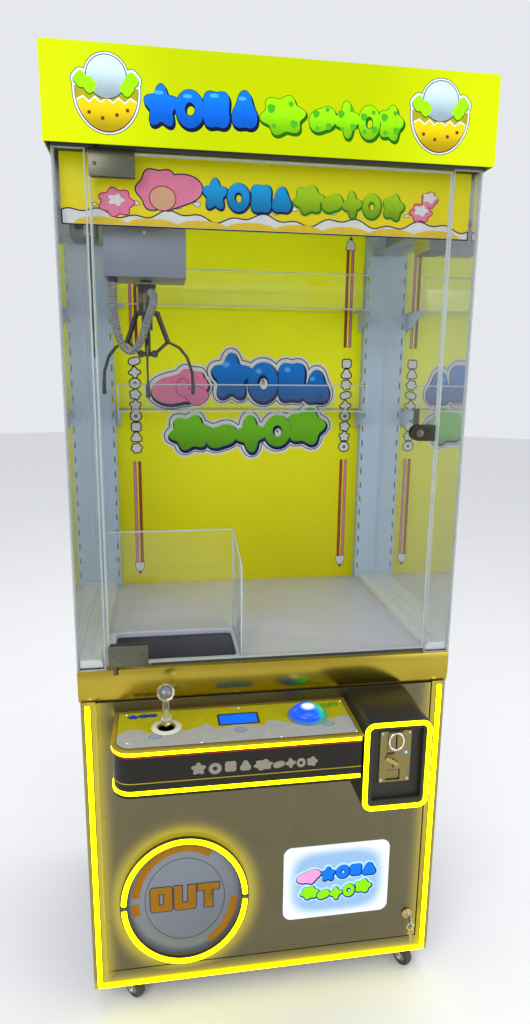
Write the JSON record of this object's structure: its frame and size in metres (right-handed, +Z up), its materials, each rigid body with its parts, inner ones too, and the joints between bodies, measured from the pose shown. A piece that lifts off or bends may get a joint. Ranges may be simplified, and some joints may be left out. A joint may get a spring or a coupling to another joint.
{
  "type": "claw crane machine",
  "caption": "Upright claw crane machine on castors with a glass cabinet, overhead travelling crane, prize chute and outlet, coin box, joystick console and lit marquee",
  "frame": {"origin": "centre of the machine's bounding box, at the floor under the castors", "axes": "+Z up, -Y towards the player, +X to the player's right"},
  "size_m": [0.8168, 0.726, 1.978],
  "materials": {
    "painted_black": "satin black powder coat",
    "board_black": "black laminated board",
    "gold_mirror": "gold mirror",
    "stainless_brown": "dark brushed stainless",
    "playfield": "pale lavender laminate",
    "sheet_grey": "grey coated sheet",
    "zinc": "zinc plated",
    "tread": "black rubber",
    "window_lens": "lit diffuser",
    "ring_moulding": "lit yellow and black moulding",
    "flap_panel": "translucent grey-blue",
    "lock_chrome": "polished",
    "console_print": "printed yellow top, black front",
    "black_plastic": "matt",
    "clear_ball": "clear moulding",
    "button_lens": "lit dome",
    "coin_steel": "brushed",
    "acrylic": "clear acrylic",
    "post_grey": "pale blue-grey",
    "back_print": "printed yellow board",
    "white_cover": "white",
    "pane": "clear",
    "marquee_shell": "yellow and black sheet",
    "marquee_print": "lit printed face",
    "banner_print": "printed strip",
    "patch_steel": "brushed",
    "aluminium": "mill finish",
    "crane_grey": "blue-grey",
    "drum_nylon": "nylon",
    "rope": "braided",
    "claw_steel": "dark plated",
    "coil_steel": "dark plated",
    "cord_grey": "flexible",
    "cable_black": "flexible"
  },
  "bodies": {
    "cabinet": {"base_frame": "painted_black", "side_panels": "board_black", "rear_panel": "board_black", "power_inlet": "black_plastic", "front_frame": "painted_black", "belt_trim": "gold_mirror", "playfield_floor": "playfield", "prize_chute": "sheet_grey", "cash_box": "sheet_grey", "control_unit": "zinc", "rear_castor_forks": "zinc", "chute_guard": "acrylic", "rear_posts": "post_grey", "shelves": "acrylic", "back_panel": "back_print", "side_channels": "white_cover", "side_glass": "pane", "front_glass_strips": "pane", "header_frame": "painted_black", "marquee_housing": "marquee_shell", "marquee_face": "marquee_print", "inner_banner": "banner_print", "gantry_rails": "zinc"},
    "bridge": {"bridge_beam": "aluminium", "trailing_cable": "cable_black"},
    "carriage": {"carriage_chassis": "zinc", "carriage_cover": "crane_grey", "hoist_rope": "rope", "curly_cord": "cord_grey"},
    "drum": {"hoist_drum": "drum_nylon"},
    "claw": {"claw_coil": "coil_steel"},
    "plunger": {"claw_hub": "claw_steel"},
    "glass_door": {"door_glass": "pane", "door_fittings": "patch_steel"},
    "glass_lock": {"door_lock_cam": "lock_chrome"},
    "service_door": {"service_door": "stainless_brown", "window_lightbox": "window_lens", "out_ring": "ring_moulding", "console_shell": "console_print", "coin_box": "black_plastic", "coin_faceplate": "coin_steel"},
    "service_lock": {"service_lock_cam": "lock_chrome"},
    "prize_flap": {"prize_flap": "flap_panel"},
    "gimbal": {"joystick_gimbal": "black_plastic"},
    "joystick": {"joystick_lever": "clear_ball"},
    "button": {"push_button": "button_lens"},
    "coin_reject": {"coin_reject_lever": "lock_chrome"},
    "coin_return": {"coin_return_flap": "coin_steel"},
    "castor_left": {"castor_fork_left": "zinc"},
    "castor_right": {"castor_fork_right": "zinc"},
    "wheel_front_left": {"castor_wheel_front_left": "tread"},
    "wheel_front_right": {"castor_wheel_front_right": "tread"},
    "wheel_rear_left": {"castor_wheel_rear_left": "tread"},
    "wheel_rear_right": {"castor_wheel_rear_right": "tread"},
    "link_1": {"claw_link_1": "claw_steel"},
    "prong_1": {"claw_prong_1": "claw_steel"},
    "link_2": {"claw_link_2": "claw_steel"},
    "prong_2": {"claw_prong_2": "claw_steel"},
    "link_3": {"claw_link_3": "claw_steel"},
    "prong_3": {"claw_prong_3": "claw_steel"}
  },
  "joints": [
    {"name": "glass_door_hinge", "type": "hinge", "parent": "cabinet", "child": "glass_door", "pos_m": [-0.322, -0.205, 0.9], "axis": [0, 0, -1], "range_deg": [0, 105]},
    {"name": "glass_door_lock", "type": "hinge", "parent": "glass_door", "child": "glass_lock", "pos_m": [0.299, -0.205, 1.323], "axis": [0, 1, 0], "range_deg": [0, 90]},
    {"name": "service_door_hinge", "type": "hinge", "parent": "cabinet", "child": "service_door", "pos_m": [-0.365, -0.212, 0.4], "axis": [0, 0, -1], "range_deg": [0, 100]},
    {"name": "service_door_lock", "type": "hinge", "parent": "service_door", "child": "service_lock", "pos_m": [0.339, -0.209, 0.171], "axis": [0, -1, 0], "range_deg": [0, 90]},
    {"name": "prize_flap_hinge", "type": "hinge", "parent": "service_door", "child": "prize_flap", "pos_m": [-0.1885, -0.201, 0.4315], "axis": [1, 0, 0], "range_deg": [0, 32]},
    {"name": "joystick_fore_aft", "type": "hinge", "parent": "service_door", "child": "gimbal", "pos_m": [-0.222, -0.283, 0.715], "axis": [1, 0, 0], "range_deg": [-15, 15], "stiffness_Nm_per_rad": 1.2},
    {"name": "joystick_side", "type": "hinge", "parent": "gimbal", "child": "joystick", "pos_m": [-0.222, -0.283, 0.715], "axis": [0, 1, 0], "range_deg": [-15, 15], "stiffness_Nm_per_rad": 1.2},
    {"name": "button_press", "type": "slide", "parent": "service_door", "child": "button", "axis": [0, 0, 1], "range_m": [-0.004, 0], "stiffness_N_per_m": 1500, "springref_m": 0.002},
    {"name": "coin_reject_press", "type": "hinge", "parent": "service_door", "child": "coin_reject", "pos_m": [0.22, -0.35, 0.679], "axis": [0, 1, 0], "range_deg": [0, 20], "stiffness_Nm_per_rad": 0.1, "springref_deg": -17.19},
    {"name": "coin_return_push", "type": "hinge", "parent": "service_door", "child": "coin_return", "pos_m": [0.22, -0.344, 0.65], "axis": [1, 0, 0], "range_deg": [0, 55]},
    {"name": "bridge_travel", "type": "slide", "parent": "cabinet", "child": "bridge", "axis": [0, 1, 0], "range_m": [0, 0.185], "deforming": ["trailing_cable"]},
    {"name": "carriage_travel", "type": "slide", "parent": "bridge", "child": "carriage", "axis": [1, 0, 0], "range_m": [0, 0.486]},
    {"name": "claw_drop", "type": "slide", "parent": "carriage", "child": "claw", "axis": [0, 0, -1], "range_m": [0, 0.53], "deforming": ["hoist_rope", "curly_cord"]},
    {"name": "drum_turn", "type": "hinge", "parent": "carriage", "child": "drum", "pos_m": [-0.243, -0.098, 1.69], "axis": [1, 0, 0], "range_deg": [-1700, 10]},
    {"name": "claw_plunger", "type": "slide", "parent": "claw", "child": "plunger", "axis": [0, 0, 1], "range_m": [0, 0.035]},
    {"name": "link_1_swing", "type": "hinge", "parent": "claw", "child": "link_1", "pos_m": [-0.243, -0.103, 1.556], "axis": [-1, 0, 0], "range_deg": [-1, 14]},
    {"name": "prong_1_close", "type": "hinge", "parent": "link_1", "child": "prong_1", "pos_m": [-0.243, -0.127, 1.5], "axis": [-1, 0, 0], "range_deg": [-60, 1]},
    {"name": "link_2_swing", "type": "hinge", "parent": "claw", "child": "link_2", "pos_m": [-0.22221, -0.067, 1.556], "axis": [0.5, -0.866, 0], "range_deg": [-1, 14]},
    {"name": "prong_2_close", "type": "hinge", "parent": "link_2", "child": "prong_2", "pos_m": [-0.20143, -0.055, 1.5], "axis": [0.5, -0.866, 0], "range_deg": [-60, 1]},
    {"name": "link_3_swing", "type": "hinge", "parent": "claw", "child": "link_3", "pos_m": [-0.26378, -0.067, 1.556], "axis": [0.5, 0.866, 0], "range_deg": [-1, 14]},
    {"name": "prong_3_close", "type": "hinge", "parent": "link_3", "child": "prong_3", "pos_m": [-0.28457, -0.055, 1.5], "axis": [0.5, 0.866, 0], "range_deg": [-60, 1]},
    {"name": "castor_left_swivel", "type": "hinge", "parent": "cabinet", "child": "castor_left", "pos_m": [-0.33, -0.155, 0.05], "axis": [0, 0, 1], "continuous": true},
    {"name": "wheel_front_left_roll", "type": "hinge", "parent": "castor_left", "child": "wheel_front_left", "pos_m": [-0.30737, -0.17763, 0.025], "axis": [0.7071, 0.7071, 0], "continuous": true},
    {"name": "wheel_rear_left_roll", "type": "hinge", "parent": "cabinet", "child": "wheel_rear_left", "pos_m": [-0.33, 0.331, 0.025], "axis": [1, 0, 0], "continuous": true},
    {"name": "castor_right_swivel", "type": "hinge", "parent": "cabinet", "child": "castor_right", "pos_m": [0.33, -0.155, 0.05], "axis": [0, 0, 1], "continuous": true},
    {"name": "wheel_front_right_roll", "type": "hinge", "parent": "castor_right", "child": "wheel_front_right", "pos_m": [0.346, -0.18271, 0.025], "axis": [0.866, 0.5, 0], "continuous": true},
    {"name": "wheel_rear_right_roll", "type": "hinge", "parent": "cabinet", "child": "wheel_rear_right", "pos_m": [0.33, 0.331, 0.025], "axis": [1, 0, 0], "continuous": true}
  ],
  "couplings": [
    {"joint": "drum_turn", "follows": "claw_drop", "rad_per_m": -52.632},
    {"joint": "link_1_swing", "follows": "claw_plunger", "rad_per_m": 5.5931},
    {"joint": "prong_1_close", "follows": "claw_plunger", "rad_per_m": -27.619},
    {"joint": "link_2_swing", "follows": "claw_plunger", "rad_per_m": 5.5931},
    {"joint": "prong_2_close", "follows": "claw_plunger", "rad_per_m": -27.619},
    {"joint": "link_3_swing", "follows": "claw_plunger", "rad_per_m": 5.5931},
    {"joint": "prong_3_close", "follows": "claw_plunger", "rad_per_m": -27.619}
  ]
}
